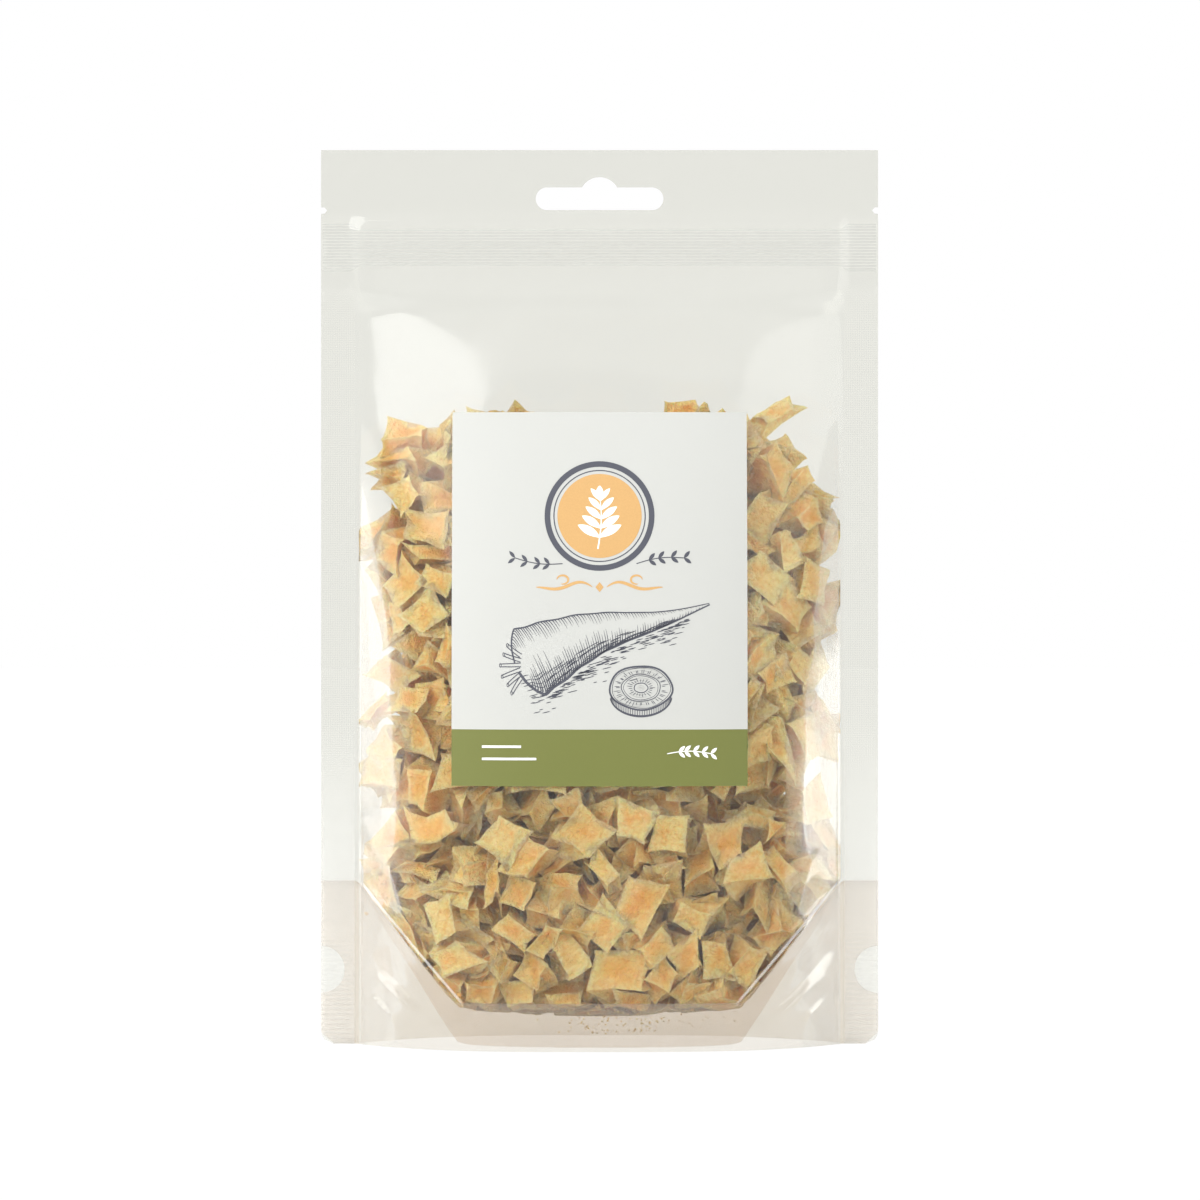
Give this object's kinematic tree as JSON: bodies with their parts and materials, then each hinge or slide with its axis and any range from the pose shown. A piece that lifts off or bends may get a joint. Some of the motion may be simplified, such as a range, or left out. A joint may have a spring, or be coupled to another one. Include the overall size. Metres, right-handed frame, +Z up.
{
  "type": "stand-up pouch of dried parsnip pieces",
  "caption": "Clear stand-up pouch with hang slot, press-to-close zip and front label, filled with dried diced parsnip.",
  "frame": {"origin": "on the floor under the middle of the pouch's foot", "axes": "+X to the pouch's right as seen from the front, +Y to the back, +Z up; the label faces -Y"},
  "size_m": [0.13, 0.0428, 0.2085],
  "materials": {
    "clear_film": "clear gloss",
    "zip_plastic": "milky gloss",
    "label_paper": "matt",
    "dried_parsnip": "dry, fibrous"
  },
  "bodies": {
    "root": {"front_film": "clear_film", "back_film": "clear_film", "bottom_gusset": "clear_film", "label": "label_paper", "zip_front_track": "zip_plastic", "zip_back_track": "zip_plastic", "parsnip_heap": "dried_parsnip", "loose_piece_1": "dried_parsnip", "loose_piece_2": "dried_parsnip", "loose_piece_3": "dried_parsnip", "loose_piece_4": "dried_parsnip", "loose_piece_5": "dried_parsnip", "loose_piece_6": "dried_parsnip", "loose_piece_7": "dried_parsnip"}
  },
  "joints": []
}
